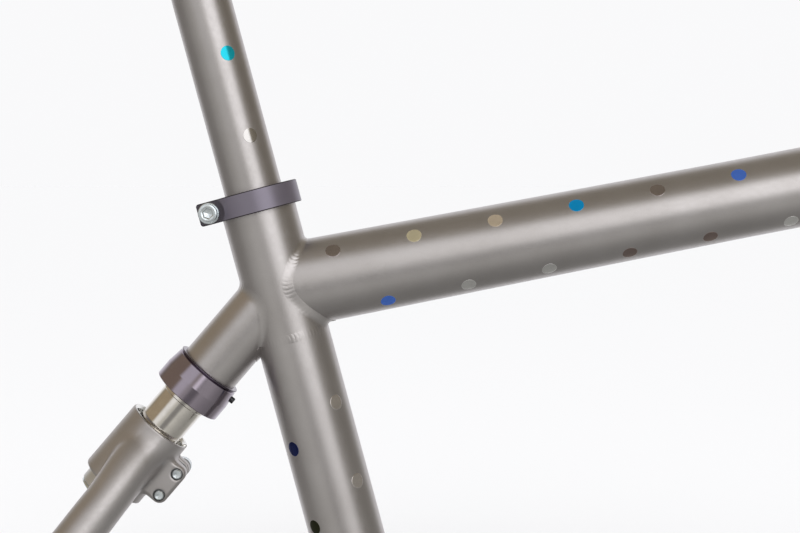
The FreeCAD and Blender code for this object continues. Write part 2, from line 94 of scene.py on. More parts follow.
seat_up = Vector(joints["seatpost_slide"]["axis"])
strut_up = Vector(joints["strut_slide"]["axis"])
top_forward = Vector(mounts["top_tube_front"]["axis"])
node = crossing(Vector(mounts["seat_tube_foot"]["pos_m"]), seat_up,
                Vector(mounts["top_tube_front"]["pos_m"]), top_forward)
SEAT = member_frame(node, seat_up)            # +X is the front of the seat tube
TOP = member_frame(node, top_forward)         # +X is the underside of the top tube
STRUT = member_frame(node, -strut_up)         # +X is the upper side of the strut

# The stays' layout plane: origin at the stays' cut ends, +Z down along them, in the mid-plane.
stay_mount = mounts["seat_stay_end_left"]
stay_line = Vector(stay_mount["axis"])
stay_end = Vector(stay_mount["pos_m"])
STAY = member_frame((stay_end.x, 0, stay_end.z), (stay_line.x, 0, stay_line.z))


def local_box(cad_node, member):
    """Lowest and highest corner of a CAD node in a member's frame, in millimetres."""
    inverse = np.array(member.inverted())
    points = np.array([v.co for v in frame["nodes"][cad_node].data.vertices])
    local = points @ inverse[:3, :3].T + inverse[:3, 3]
    return local.min(0), local.max(0)


# ---- mesh helpers ----
def piece(name, points, faces, member, material, body, replaces=(), sharp=40.0):
    """A smooth-shaded mesh from points in a member's frame, riding on a CAD body."""
    matrix = np.array(member)
    points = np.asarray(points, float) @ matrix[:3, :3].T + matrix[:3, 3]
    mesh = bpy.data.meshes.new(name)
    mesh.from_pydata(points.tolist(), [], faces)
    mesh.validate()
    mesh.shade_smooth()
    mesh.set_sharp_from_angle(angle=radians(sharp))
    mesh.materials.append(material)
    made = bpy.data.objects.new(name, mesh)
    bpy.context.scene.collection.objects.link(made)
    if body:
        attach(made, body)
    if replaces:
        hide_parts(*replaces)
    return made


def wrapped_grid(rows, columns, close_rows):
    """Quads over a grid of points whose columns run round a ring."""
    row_count = rows if close_rows else rows - 1
    i, j = np.meshgrid(np.arange(row_count), np.arange(columns), indexing="ij")
    i_next, j_next = (i + 1) % rows, (j + 1) % columns
    quads = np.stack([i * columns + j, i * columns + j_next,
                      i_next * columns + j_next, i_next * columns + j], -1)
    return quads.reshape(-1, 4)


def capped_grid(rows, columns):
    """Faces of an open grid of rings, with one face across each end."""
    last = (rows - 1) * columns
    return [*wrapped_grid(rows, columns, False).tolist(), tuple(range(columns - 1, -1, -1)),
            tuple(range(last, last + columns))]


def outward(points, faces):
    """The faces, turned over if the closed surface they make is inside out."""
    a, b, c, d = (points[faces[:, k]] for k in range(4))
    volume = np.einsum("ij,ij->", a, np.cross(b, c)) + np.einsum("ij,ij->", a, np.cross(c, d))
    return (faces if volume > 0 else faces[:, ::-1]).tolist()


def face_outward(made):
    bm = bmesh.new()
    bm.from_mesh(made.data)
    bmesh.ops.recalc_face_normals(bm, faces=bm.faces)
    bm.to_mesh(made.data)
    bm.free()


def circle(radius, angle, along):
    """Points round a member's axis."""
    return np.stack([radius * np.cos(angle), radius * np.sin(angle), along + 0 * angle], -1)


def unit(vectors):
    return vectors / np.linalg.norm(vectors, axis=-1, keepdims=True)


# ---- where the bolts sit, for the materials and the shapes ----
BOLT_SIDE, BOLTS = 20.3, (97.15, 110.15)                  # the pinch bolts, in the strut's frame
BOLT_SINK_R = 3.05                                        # of the countersinks round them
CLAMP_BOLT_BACK, BAND_MIDDLE = 21.84, 42.1                # the clamp bolt, in the seat tube's
LUG_FACE, WASHER_THICK, SPOT_FACE_R = 11.0, 1.0, 7.4
ACROSS = Vector((0, 1, 0))                                # the direction of all three bolts


# ---- materials ----
class Nodes:
    """Builds one material around a Principled shader."""

    def __init__(self, name, metallic, roughness, colour, **settings):
        self.material = bpy.data.materials.new(name)
        self.material.use_nodes = True
        self.tree = self.material.node_tree
        self.shader = self.tree.nodes["Principled BSDF"]
        self.shader.inputs["Metallic"].default_value = metallic
        self.shader.inputs["Roughness"].default_value = roughness
        self.shader.inputs["Base Color"].default_value = (*colour, 1)
        for socket, value in settings.items():
            self.shader.inputs[socket.replace("_", " ")].default_value = value
        coordinates = self.tree.nodes.new("ShaderNodeTexCoord")
        self.place, self.normal = coordinates.outputs["Object"], coordinates.outputs["Normal"]

    def link(self, output, target):
        self.tree.links.new(output, target)

    def noise(self, grain_mm, detail=2.0, roughness=0.5, stretch=None):
        """Noise whose features are about grain_mm across."""
        made = self.tree.nodes.new("ShaderNodeTexNoise")
        made.inputs["Scale"].default_value = 1 / (grain_mm * MM)
        made.inputs["Detail"].default_value = detail
        made.inputs["Roughness"].default_value = roughness
        source = self.place
        if stretch:
            mapping = self.tree.nodes.new("ShaderNodeMapping")
            mapping.inputs["Rotation"].default_value = stretch[0]
            mapping.inputs["Scale"].default_value = stretch[1]
            self.link(source, mapping.inputs["Vector"])
            source = mapping.outputs["Vector"]
        self.link(source, made.inputs["Vector"])
        return made.outputs["Fac"]

    def spread(self, value, low, high, from_low=0.3, from_high=0.7):
        """Maps a noise value to a range."""
        made = self.tree.nodes.new("ShaderNodeMapRange")
        made.inputs["From Min"].default_value = from_low
        made.inputs["From Max"].default_value = from_high
        made.inputs["To Min"].default_value = low
        made.inputs["To Max"].default_value = high
        self.link(value, made.inputs["Value"])
        return made.outputs["Result"]

    def mix(self, share, first, second):
        """A colour between two colours, by share."""
        made = self.tree.nodes.new("ShaderNodeMix")
        made.data_type = "RGBA"
        self.link(share, made.inputs["Factor"])
        for socket, colour in (("A", first), ("B", second)):
            target = [s for s in made.inputs if s.name == socket and s.type == "RGBA"][0]
            if isinstance(colour, tuple):
                target.default_value = (*colour, 1)
            else:
                self.link(colour, target)
        return [s for s in made.outputs if s.type == "RGBA"][0]

    def operate(self, kind, operation, values):
        """The outputs of a node that works on numbers, vectors and other outputs."""
        made = self.tree.nodes.new(kind)
        made.operation = operation
        for socket, value in zip(made.inputs, values):
            if isinstance(value, (int, float, Vector)):
                socket.default_value = value
            else:
                self.link(value, socket)
        return made.outputs

    def maths(self, operation, *values):
        return self.operate("ShaderNodeMath", operation, values)[0]

    def vector(self, operation, *values, output="Vector"):
        return self.operate("ShaderNodeVectorMath", operation, values)[output]

    def along(self, axis):
        """Distance along a member's axis from the node, in millimetres."""
        metres = self.vector("DOT_PRODUCT", self.place, axis, output="Value")
        return self.maths("MULTIPLY_ADD", metres, 1 / MM, -node.dot(axis) / MM)

    def from_axis(self, point, axis):
        """Distance from an axis through a point, in millimetres."""
        offset = self.vector("SUBTRACT", self.place, point)
        across = self.vector("CROSS_PRODUCT", offset, axis)
        return self.maths("DIVIDE", self.vector("LENGTH", across, output="Value"), MM)

    def inside_mouth(self, radius, depth):
        """1 where a skin lies inside the yoke's mouth, nearer than radius to the strut's axis."""
        near = self.maths("LESS_THAN", self.from_axis(node, strut_up), radius)
        return self.maths("MULTIPLY", near, self.maths("LESS_THAN", self.along(-strut_up), depth))

    def fall(self, share, value, amount):
        """The value, lowered by a part of itself where share is 1."""
        return self.maths("MULTIPLY", value, self.maths("MULTIPLY_ADD", share, -amount, 1.0))

    def finish(self, skin, satin):
        """Takes the skin's colour and its roughness from two outputs."""
        self.link(skin, self.shader.inputs["Base Color"])
        self.link(satin, self.shader.inputs["Roughness"])

    def bump(self, *layers):
        """Stacks bumps: each layer is (height output, depth in millimetres)."""
        normal = None
        for height, depth in layers:
            made = self.tree.nodes.new("ShaderNodeBump")
            made.inputs["Strength"].default_value = 1.0
            made.inputs["Distance"].default_value = depth * MM
            self.link(height, made.inputs["Height"])
            if normal:
                self.link(normal, made.inputs["Normal"])
            normal = made.outputs["Normal"]
        self.link(normal, self.shader.inputs["Normal"])


SPECK = (0.62, 0.60, 0.60)               # bright grains of the blasted skin
# Painted light: a colour lighter than titanium's own, which lifts the shade inside the yoke's polished bore.
POLISHED_MOUTH_PAINTED_LIGHT = (0.90, 0.895, 0.88)
# Painted shade in the countersinks round the yoke's pinch bolts.
SINK_SHADE = (0.05, 0.048, 0.045)
# Painted shade in the gaps at anodised edges and in recesses.
RIM_SHADE = (0.03, 0.025, 0.03)          # of anodised edges and hollows


def blasted_titanium(name, warm=(0.49, 0.462, 0.455), cool=(0.56, 0.532, 0.53), rough=0.36,
                     mouth=None, sinks=()):
    """Bead-blasted titanium: an even satin with a fine grain and faint clouds where it was handled.

    A mouth is a radius and a depth within which it is polished, with its colour painted lighter
    than titanium's own as painted light against the shade in the bore. Sinks are points, each
    with an axis and a radius, round which shade is painted."""
    made = Nodes(name, 1.0, rough, warm)
    clouds = made.noise(26.0, detail=4.0, roughness=0.6)
    mottle = made.noise(1.6, detail=3.0)
    grain = made.noise(0.32, detail=2.0)
    base = made.mix(made.spread(clouds, 0, 1), warm, cool)
    speck = made.spread(grain, 0.0, 0.35)
    skin = made.mix(speck, base, SPECK)
    satin = made.spread(mottle, rough - 0.035, rough + 0.035)
    # The mouth is polished, and its colour is painted lighter as painted light against the shade in the bore.
    if mouth:
        bright = made.inside_mouth(*mouth)
        skin = made.mix(bright, skin, POLISHED_MOUTH_PAINTED_LIGHT)
        satin = made.fall(bright, satin, 0.55)
    # Painted shade round each countersink.
    for point, axis, radius in sinks:
        dark = made.spread(made.from_axis(point, axis), 0.7, 0, radius - 0.25, radius + 0.1)
        skin = made.mix(dark, skin, SINK_SHADE)
    made.finish(skin, satin)
    made.bump((mottle, 0.006), (grain, 0.012))
    return made.material


def anodised_dark(name, colour, worn, rough, metallic=1.0, shade=None, spot_face=None):
    """Dark anodised aluminium, rubbed a little lighter in places.

    Shade is painted on it, nearly black, where it lies further than the shade's reach from the
    shade's middle, both measured in millimetres along an axis, on faces that do not face along
    that axis: painted shade in the gaps along its edges. A spot face is a point, an axis and a
    radius round which shade is painted too, for the recess."""
    made = Nodes(name, metallic, rough, colour)
    clouds = made.noise(9.0, detail=3.0)
    grain = made.noise(0.25, detail=2.0)
    skin = made.mix(made.spread(clouds, 0, 0.5), colour, worn)
    # Painted shade along the edges, for the gaps beside them.
    if shade:
        axis, middle, reach = shade
        off_middle = made.maths("ABSOLUTE", made.maths("ADD", made.along(axis), -middle))
        facing_axis = made.maths("ABSOLUTE", made.vector("DOT_PRODUCT", made.normal, axis,
                                                           output="Value"))
        rim = made.maths("MULTIPLY", made.spread(off_middle, 0, 1, reach - 0.1, reach + 0.1),
                         made.maths("LESS_THAN", facing_axis, 0.8))
        skin = made.mix(rim, skin, RIM_SHADE)
    # Painted shade in the spot face's recess.
    if spot_face:
        point, axis, radius = spot_face
        painted_recess_shade = made.spread(made.from_axis(point, axis), 0.75, 0, radius - 0.5, radius + 0.5)
        skin = made.mix(painted_recess_shade, skin, RIM_SHADE)
    made.finish(skin, made.spread(grain, rough - 0.03, rough + 0.04))
    made.bump((grain, 0.003))
    return made.material


def polished_metal(name, colour, rough, streak=0.03, grain_mm=0.6, metallic=1.0):
    """Polished or plated metal with a faint haze of fine scratches."""
    made = Nodes(name, metallic, rough, colour)
    haze = made.noise(5.0, detail=4.0, roughness=0.65)
    scratch = made.noise(grain_mm, detail=2.0)
    darker = tuple(0.86 * part for part in colour)
    made.finish(made.mix(made.spread(haze, 0, 1), colour, darker),
                made.spread(haze, rough, rough + streak))
    made.bump((scratch, 0.0012))
    return made.material


POLISHED_STEEL = (0.82, 0.785, 0.735), (0.73, 0.695, 0.65)
GROUND_STEEL = (0.74, 0.74, 0.74)
DULL_FROM_TO = 91.0, 93.0                # where the shaft turns dull, along the strut


def shaft_metal(name):
    """The strut shaft: polished where it slides, ground dull where the yoke holds it."""
    made = Nodes(name, 1.0, 0.1, (0.70, 0.67, 0.63))
    dull = made.spread(made.along(-strut_up), 0, 1, *DULL_FROM_TO)
    haze = made.noise(5.0, detail=4.0, roughness=0.65)
    scratch = made.noise(0.6, detail=2.0)
    shine = made.mix(made.spread(haze, 0, 1), *POLISHED_STEEL)
    made.finish(made.mix(dull, shine, GROUND_STEEL),
                made.maths("MULTIPLY_ADD", dull, 0.34, made.spread(haze, 0.09, 0.13)))
    made.bump((scratch, 0.0012))
    return made.material


def moulded(name, colour, rough):
    """Rubber or bearing plastic."""
    made = Nodes(name, 0.0, rough, colour)
    grain = made.noise(0.4, detail=2.0)
    cloud = made.noise(4.0, detail=3.0)
    lighter = tuple(min(1.0, 1.5 * part + 0.01) for part in colour)
    made.finish(made.mix(made.spread(cloud, 0, 1), colour, lighter),
                made.spread(grain, rough - 0.06, rough + 0.06))
    made.bump((grain, 0.01))
    return made.material


titanium = blasted_titanium("titanium_blasted")
MOUTH_R, MOUTH_DEPTH = 15.35, 93.0       # of the yoke's polished mouth
# The yoke's mouth is polished, with painted light against the shade in the bore, and shade is painted round its
# countersinks.
yoke_titanium = blasted_titanium("titanium_yoke", rough=0.44, mouth=(MOUTH_R, MOUTH_DEPTH),
                                 sinks=[(STRUT @ Vector((-BOLT_SIDE, 0, at)), ACROSS, BOLT_SINK_R)
                                        for at in BOLTS])
weld_metal = blasted_titanium("titanium_weld", rough=0.33)
band_low, band_high = local_box("seat_clamp_band", SEAT)
# Painted shade along the clamp band's edges and in the bolt's spot face.
dark_clamp = anodised_dark("anodised_clamp", (0.225, 0.202, 0.250), (0.25, 0.23, 0.277), 0.35,
                           metallic=0.72, shade=(seat_up, (band_low[2] + band_high[2]) / 2,
                                                 (band_high[2] - band_low[2]) / 2 - 0.4),
                           spot_face=(SEAT @ Vector((-CLAMP_BOLT_BACK, 0, BAND_MIDDLE)), ACROSS,
                                      SPOT_FACE_R))
dark_collar = anodised_dark("anodised_collar", (0.35, 0.305, 0.365), (0.39, 0.345, 0.40), 0.13)
shaft_steel = shaft_metal("shaft_polished")
plated_steel = polished_metal("fastener_plated", (0.80, 0.86, 0.90), 0.22, grain_mm=0.3)
ring_low, ring_high = local_box("collar_lock_ring", STRUT)
# Painted shade along one edge of the lock ring, for the dark gap line at the collar.
dark_ring = anodised_dark("anodised_ring", (0.27, 0.24, 0.285), (0.31, 0.28, 0.32), 0.2,
                          shade=(-strut_up, ring_high[2], ring_high[2] - ring_low[2] - 0.5))
black_steel = polished_metal("fastener_black", (0.06, 0.06, 0.065), 0.30, grain_mm=0.3)
spring_steel = polished_metal("spring_steel", (0.34, 0.34, 0.36), 0.32)
elastomer = moulded("elastomer", (0.05, 0.05, 0.055), 0.55)
bearing_plastic = moulded("bearing_polymer", (0.10, 0.16, 0.11), 0.42)

NODE_MATERIALS = {
    titanium: ("seat_tube_sleeve", "seat_tube_lower", "strut_housing", "seatpost"),
    dark_clamp: ("seat_clamp_band",),
    dark_collar: ("strut_collar",),
    shaft_steel: ("strut_shaft", "scraper_ring"),
    plated_steel: ("seat_clamp_washer", "guide_rod", "shaft_end_plug"),
    dark_ring: ("collar_lock_ring",),
    black_steel: ("collar_set_screw",),
    elastomer: ("bottom_out_bumper", "top_out_bumper"),
    bearing_plastic: ("lower_guide_bush", "spring_seat", "shaft_glide_ring"),
}
for material, cad_nodes in NODE_MATERIALS.items():
    for cad_node in cad_nodes:
        for material_slot in frame["nodes"][cad_node].material_slots:
            material_slot.material = material


# ---- top tube ----
sleeve_low, sleeve_high = local_box("seat_tube_sleeve", SEAT)
seat_tube_r = sleeve_high[1]
_, tube_high = local_box("top_tube", TOP)
TUBE_END = tube_high[2]
TUBE_ROUND_R = tube_high[1]
TUBE_TALL = 20.25              # half height and half width of the oval at the seat tube
TUBE_WIDE = 16.85
TUBE_OVAL_LENGTH = 225.0
TUBE_WALL = 0.9
OVAL_EASE = 1.25               # how softly the oval turns round
ROUND_SEGMENTS = 288
seat_axis_in_top = unit(np.array(TOP.inverted().to_3x3() @ seat_up))


def top_tube_half_sizes(along):
    oval = np.clip(1 - along / TUBE_OVAL_LENGTH, 0, 1) ** OVAL_EASE
    return (TUBE_ROUND_R + (TUBE_TALL - TUBE_ROUND_R) * oval,
            TUBE_ROUND_R + (TUBE_WIDE - TUBE_ROUND_R) * oval)


def top_tube_point(angle, along, out=0.0):
    """A point on the top tube's skin, moved out; angle 0 is its underside."""
    tall, wide = top_tube_half_sizes(along)
    return np.stack([(tall + out) * np.cos(angle), (wide + out) * np.sin(angle),
                     along + 0 * angle], -1)


def cope(point_at, angle, axis, radius):
    """Distance along a tube at which its skin meets the seat tube's cylinder, for each angle."""
    along = np.full_like(angle, radius)
    step = 0.01
    for _ in range(30):
        p = point_at(angle, along)
        q = point_at(angle, along + step)
        here = np.linalg.norm(p - (p @ axis)[:, None] * axis, axis=1)
        there = np.linalg.norm(q - (q @ axis)[:, None] * axis, axis=1)
        slope = (there - here) / step
        along = along - np.clip((here - radius) / slope, -8, 8)
    return along


def make_top_tube():
    """The oval tube and its bore, coped to the seat tube at one end and square at the other."""
    angle = np.arange(ROUND_SEGMENTS) * 2 * pi / ROUND_SEGMENTS
    lip, rows = 0.2, 30
    outer_start = cope(top_tube_point, angle, seat_axis_in_top, seat_tube_r)
    inner_start = cope(lambda a, z: top_tube_point(a, z, -TUBE_WALL), angle, seat_axis_in_top,
                       seat_tube_r)
    rings = []
    for i in range(rows + 1):
        rings.append(top_tube_point(angle, outer_start + (TUBE_END - lip - outer_start) * i / rows))
    rings.append(top_tube_point(angle, TUBE_END + 0 * angle, -lip))
    rings.append(top_tube_point(angle, TUBE_END + 0 * angle, lip - TUBE_WALL))
    for i in range(rows, -1, -1):
        along = inner_start + (TUBE_END - lip - inner_start) * i / rows
        rings.append(top_tube_point(angle, along, -TUBE_WALL))
    points = np.concatenate(rings)
    faces = outward(points, wrapped_grid(len(rings), ROUND_SEGMENTS, True))
    piece("top_tube_shell", points, faces, TOP, titanium, "front_frame",
          replaces=("top_tube",))


make_top_tube()


# ---- welds ----
RIPPLE_PITCH = 1.9             # between the ripples of a weld
RIPPLE_BOW = 0.35              # how far a ripple's middle runs ahead of its ends, in pitches
RIPPLE_HEIGHT = 0.07
RING_RIPPLES = 1.3             # height of the ring weld's ripples, as a share of the others'
TOE_HEIGHT = 0.025             # of a weld's edge above the tube
UNDER = 0.35                   # how deep a weld's underside lies in the tubes


def ripples(along, across):
    """Height of overlapping weld ripples; along is in millimetres, across runs from 0 to 1."""
    wander = 0.35 * np.sin(along / 7.3) + 0.22 * np.sin(along / 3.1 + 1.3)
    phase = (along + wander) / RIPPLE_PITCH - RIPPLE_BOW * (1 - (2 * across - 1) ** 2)
    short = 0.5 + 0.5 * np.cos((along - 97.5) / 2.3)
    long = 0.55 + 0.45 * np.cos((along - 90.0) / 9.5)
    blended_away = 0.12 + 0.88 * short * long
    return (RIPPLE_HEIGHT * blended_away * np.abs(np.sin(pi * phase))
            * np.sin(pi * across) ** 0.6)


def corner_weld(name, member, point_at, legs, replaces):
    """A hand-laid fillet weld in the corner between the seat tube and a tube that joins it.

    Each of the legs is (degrees from the branch's angle 0, leg on the seat tube, leg on the branch,
    how flat the weld meets the branch: 0 runs in smoothly, 1 leaves a crisp toe)."""
    columns, across_count = 1100, 18
    axis = unit(np.array(member.inverted().to_3x3() @ seat_up))
    angle = np.arange(columns) * 2 * pi / columns
    from_zero = np.degrees(pi - np.abs(angle - pi))
    leg_on_seat_tube, leg_on_branch, flat = (
        np.interp(from_zero, [leg[0] for leg in legs], [leg[k] for leg in legs]) for k in (1, 2, 3))
    start = cope(point_at, angle, axis, seat_tube_r)
    corner = point_at(angle, start)
    length = np.linalg.norm(np.roll(corner, -1, 0) - corner, axis=1)
    along = np.concatenate([[0], np.cumsum(length)[:-1]])
    along *= round(length.sum() / RIPPLE_PITCH) * RIPPLE_PITCH / length.sum()

    def seat_normal(p):
        return unit(p - (p @ axis)[:, None] * axis)

    tangent = unit(np.roll(corner, -1, 0) - np.roll(corner, 1, 0))
    on_branch = point_at(angle, start + leg_on_branch)
    branch_run = unit(corner - on_branch)
    away = np.cross(tangent, seat_normal(corner))
    away *= np.sign(np.einsum("ij,ij->i", away, branch_run))[:, None]
    leg_on_seat_tube, leg_on_branch, flat = (
        value[:, None] for value in (leg_on_seat_tube, leg_on_branch, flat))
    on_seat = corner + away * leg_on_seat_tube
    height = (on_seat @ axis)[:, None] * axis
    on_seat = height + seat_normal(on_seat) * seat_tube_r
    seat_run = corner - on_seat
    upward = seat_normal(on_seat)
    seat_run = unit(seat_run - np.einsum("ij,ij->i", seat_run, upward)[:, None] * upward)
    soft = 0.62
    smooth_in = branch_run * leg_on_branch * soft
    handles = (on_seat, on_seat + seat_run * leg_on_seat_tube * soft,
               on_branch + smooth_in * (1 - flat) + (on_seat - on_branch) * 0.4 * flat, on_branch)
    shares = np.linspace(0, 1, across_count)
    skin = []
    for t in shares:
        weights = ((1 - t) ** 3, 3 * t * (1 - t) ** 2, 3 * t * t * (1 - t), t ** 3)
        skin.append(sum(w * h for w, h in zip(weights, handles)))
    skin = np.array(skin)
    run = np.gradient(skin, axis=0)
    out = unit(np.cross(run, tangent[None]))
    out *= np.sign(np.einsum("ij,ij->i", out[across_count // 2],
                             seat_normal(skin[across_count // 2])))[None, :, None]
    rings = [skin[k] + out[k] * (TOE_HEIGHT + ripples(along, t))[:, None]
             for k, t in enumerate(shares)]
    below = [on_branch - out[-1] * UNDER, corner - (out[-1] + out[0]) * UNDER,
             on_seat - out[0] * UNDER]
    points = np.concatenate(rings + below)
    faces = outward(points, wrapped_grid(across_count + len(below), columns, True))
    piece(name, points, faces, member, weld_metal, "front_frame",
          replaces=replaces, sharp=60.0)


_, housing_high = local_box("strut_housing", STRUT)
housing_r = housing_high[1]


def housing_point(angle, along):
    """A point on the strut housing's skin."""
    return circle(housing_r, angle, along)


corner_weld("top_tube_weld_bead", TOP, top_tube_point,
            ((0, 4.0, 4.0, 0.0), (12, 4.0, 3.2, 0.3), (30, 3.8, 2.3, 0.9), (62, 3.2, 2.2, 1.0),
             (78, 2.4, 2.8, 0.9), (90, 2.2, 3.4, 0.5), (105, 2.4, 2.8, 0.1), (130, 3.0, 2.6, 0.0),
             (160, 2.2, 1.9, 0.0), (180, 2.0, 1.8, 0.0)), ("top_tube_weld",))
corner_weld("strut_housing_weld_bead", STRUT, housing_point,
            ((0, 3.0, 3.0, 0.0), (180, 3.0, 3.0, 0.0)), ("strut_housing_weld",))


def make_seat_tube_weld():
    """The low rippled bead round the seam between the machined sleeve and the thin tube."""
    columns, across_count = 900, 12
    half_width, crown, under = 2.1, 0.01, 0.4
    angle = np.arange(columns) * 2 * pi / columns
    around = 2 * pi * seat_tube_r
    along = angle / (2 * pi) * round(around / RIPPLE_PITCH) * RIPPLE_PITCH
    rings = []
    for t in np.linspace(0, 1, across_count):
        radius = seat_tube_r + 0.015 + crown * sin(pi * t) + RING_RIPPLES * ripples(along, t)
        z = sleeve_low[2] + half_width * (2 * t - 1)
        rings.append(circle(radius, angle, z))
    for z in (sleeve_low[2] + half_width, sleeve_low[2] - half_width):
        rings.append(circle(seat_tube_r - under, angle, z))
    points = np.concatenate(rings)
    faces = outward(points, wrapped_grid(len(rings), columns, True))
    piece("seat_tube_weld_bead", points, faces, SEAT, weld_metal, "front_frame",
          replaces=("seat_tube_weld",), sharp=60.0)


make_seat_tube_weld()


# ---- polished dots ----
DOT_R = 3.5
DOT_DEPTH = 0.08               # how deep a dot's underside lies in the tube
DOT_PITCH = 38.15              # between the dots of a row
POST_DOT_PROUD = 0.022         # low enough to slide into the seat tube

# Coloured by anodising: each is a colour and how metallic it looks.
DOT_COLOURS = {
    "royal_blue": ((0.07, 0.175, 0.62), 0.5),
    "navy": ((0.035, 0.05, 0.20), 1.0),
    "cyan": ((0.0, 0.29, 0.62), 0.5),
    "teal": ((0.01, 0.50, 0.63), 0.7),
    "umber": ((0.345, 0.27, 0.25), 1.0),
    "brown": ((0.52, 0.465, 0.47), 1.0),
    "gold": ((0.62, 0.55, 0.37), 0.6),
    "cream": ((0.60, 0.50, 0.375), 0.6),
    "silver": ((0.93, 0.92, 0.91), 1.0),
    "pewter": ((0.60, 0.58, 0.57), 1.0),
    "nickel": ((0.84, 0.79, 0.76), 1.0),
    "olive": ((0.05, 0.055, 0.03), 1.0),
}
dot_materials = {name: polished_metal("dot_" + name, colour, 0.11, streak=0.04, metallic=metallic)
                 for name, (colour, metallic) in DOT_COLOURS.items()}


def dot_mesh(skin_at, angle, along, radius, proud):
    """A thin disc that follows a tube's skin: closed, with a rounded rim."""
    segments = 56
    turn = np.arange(segments) * 2 * pi / segments
    outline = [(share, proud) for share in (0.1, 0.28, 0.45, 0.6, 0.75, 0.86, 0.95)]
    outline += [(0.985, 0.6 * proud), (1.0, -0.02)]
    outline += [(share, -DOT_DEPTH) for share in (1.0, 0.75, 0.45, 0.1)]
    rings = []
    for share, out in outline:
        around = DOT_R * share * np.cos(turn)
        forward = DOT_R * share * np.sin(turn)
        rings.append(skin_at(angle + around / radius, along + forward, out))
    return np.concatenate(rings), capped_grid(len(rings), segments)


def round_skin(radius):
    """The skin of a round tube, as dot_mesh wants it."""
    def skin_at(angle, along, out):
        return circle(radius + out, angle, along)
    return skin_at


def make_dots(prefix, member, body, skin_at, radius, rows, proud=0.06):
    """One piece per colour from rows of (angle, first dot, step, colours)."""
    gathered = {}
    for angle, first, step, colours in rows:
        for i, colour in enumerate(colours):
            points, faces = dot_mesh(skin_at, radians(angle), first + step * i, radius, proud)
            held = gathered.setdefault(colour, [[], [], 0])
            held[0].append(points)
            held[1] += [tuple(v + held[2] for v in face) for face in faces]
            held[2] += len(points)
    for colour, (points, faces, _) in gathered.items():
        made = piece(prefix + colour, np.concatenate(points), faces, member,
                     dot_materials[colour], body, sharp=50.0)
        face_outward(made)


# Rows lie a quarter turn apart round each tube, and neighbouring rows are staggered.
TOP_ROW_ANGLE = -90.0 - 40.2   # of the upper row on the right-hand side
TOP_MEAN_R = 18.8              # of the top tube where the dots lie
make_dots("top_tube_dots_", TOP, "front_frame", top_tube_point, TOP_MEAN_R, (
    (TOP_ROW_ANGLE, 28.3, DOT_PITCH,
     ("brown", "gold", "cream", "cyan", "brown", "royal_blue")),
    (TOP_ROW_ANGLE + 90, 49.0, DOT_PITCH,
     ("royal_blue", "silver", "silver", "umber", "umber", "silver")),
    (TOP_ROW_ANGLE + 180, 28.3, DOT_PITCH,
     ("cream", "royal_blue", "brown", "silver", "gold", "cyan")),
    (TOP_ROW_ANGLE - 90, 49.0, DOT_PITCH,
     ("silver", "brown", "cyan", "cream", "brown", "gold")),
))
SEAT_ROW_ANGLE = -90.0 + 45.0  # of the row at the front of the right-hand side
make_dots("seat_tube_dots_", SEAT, "front_frame", round_skin(seat_tube_r), seat_tube_r, (
    (SEAT_ROW_ANGLE, -57.8, -DOT_PITCH, ("nickel", "nickel")),
    (SEAT_ROW_ANGLE - 92.6, -74.0, -DOT_PITCH, ("navy", "olive")),
    (SEAT_ROW_ANGLE + 87.4, -74.0, -DOT_PITCH, ("silver", "brown")),
    (SEAT_ROW_ANGLE + 180, -57.4, -DOT_PITCH, ("cyan", "gold")),
))
_, post_high = local_box("seatpost", SEAT)
POST_ROW_ANGLE, POST_DOT_PITCH = -90.0 + 27.5, 39.0
make_dots("seatpost_dots_", SEAT, "seatpost_body", round_skin(post_high[1]), post_high[1], (
    (POST_ROW_ANGLE, 71.8, POST_DOT_PITCH, ("pewter", "teal", "brown")),
    (POST_ROW_ANGLE + 120, 84.5, POST_DOT_PITCH, ("royal_blue", "gold")),
    (POST_ROW_ANGLE - 120, 97.2, POST_DOT_PITCH, ("brown", "cream")),
), POST_DOT_PROUD)


# ---- yoke: one smooth casting from a distance field ----
YOKE_R = 15.9
YOKE_START, YOKE_END = 85.9, 121.5
RIM_BORE_R, RIM_DEPTH = 13.7, 6.0
SHAFT_BORE_R = 12.74
EAR_HALF_GAP, EAR_FACE, EAR_EDGE = 2.5, 9.65, 24.3
EAR_START, EAR_END, EAR_CORNER_R = 93.1, 114.1, 4.0
SLIT_END = 9.0                 # the ears' slit stops this far behind the strut's axis
EAR_BLEND, EAR_BEVEL = 2.6, 1.5
EAR_ROOT = -8.0                # the ears reach in this far, inside the barrel
BARREL_ROUND, MOUTH_BEVEL = 1.4, 0.7
EDGE_SOFTNESS = 0.9            # of the barrel's end and the slit
BORE_SOFTNESS, HOLE_SOFTNESS = 0.35, 0.5
ARM_BLEND = (1.6, 5.0)         # crisp along the arm's upper edge, soft along its lower edge
BLEND_FROM, BLEND_RUN = 5.0, 9.0             # where it starts to soften, and over what height
THREAD_HOLE_R, SHANK_HOLE_R = 2.55, 2.75     # of the bolts' holes, right and left
VOXEL = 0.5                    # of the grid that the casting is meshed from
GRID_LOW, GRID_HIGH = (-26.5, -47.5, 83.5), (19.0, 47.5, 164.0)

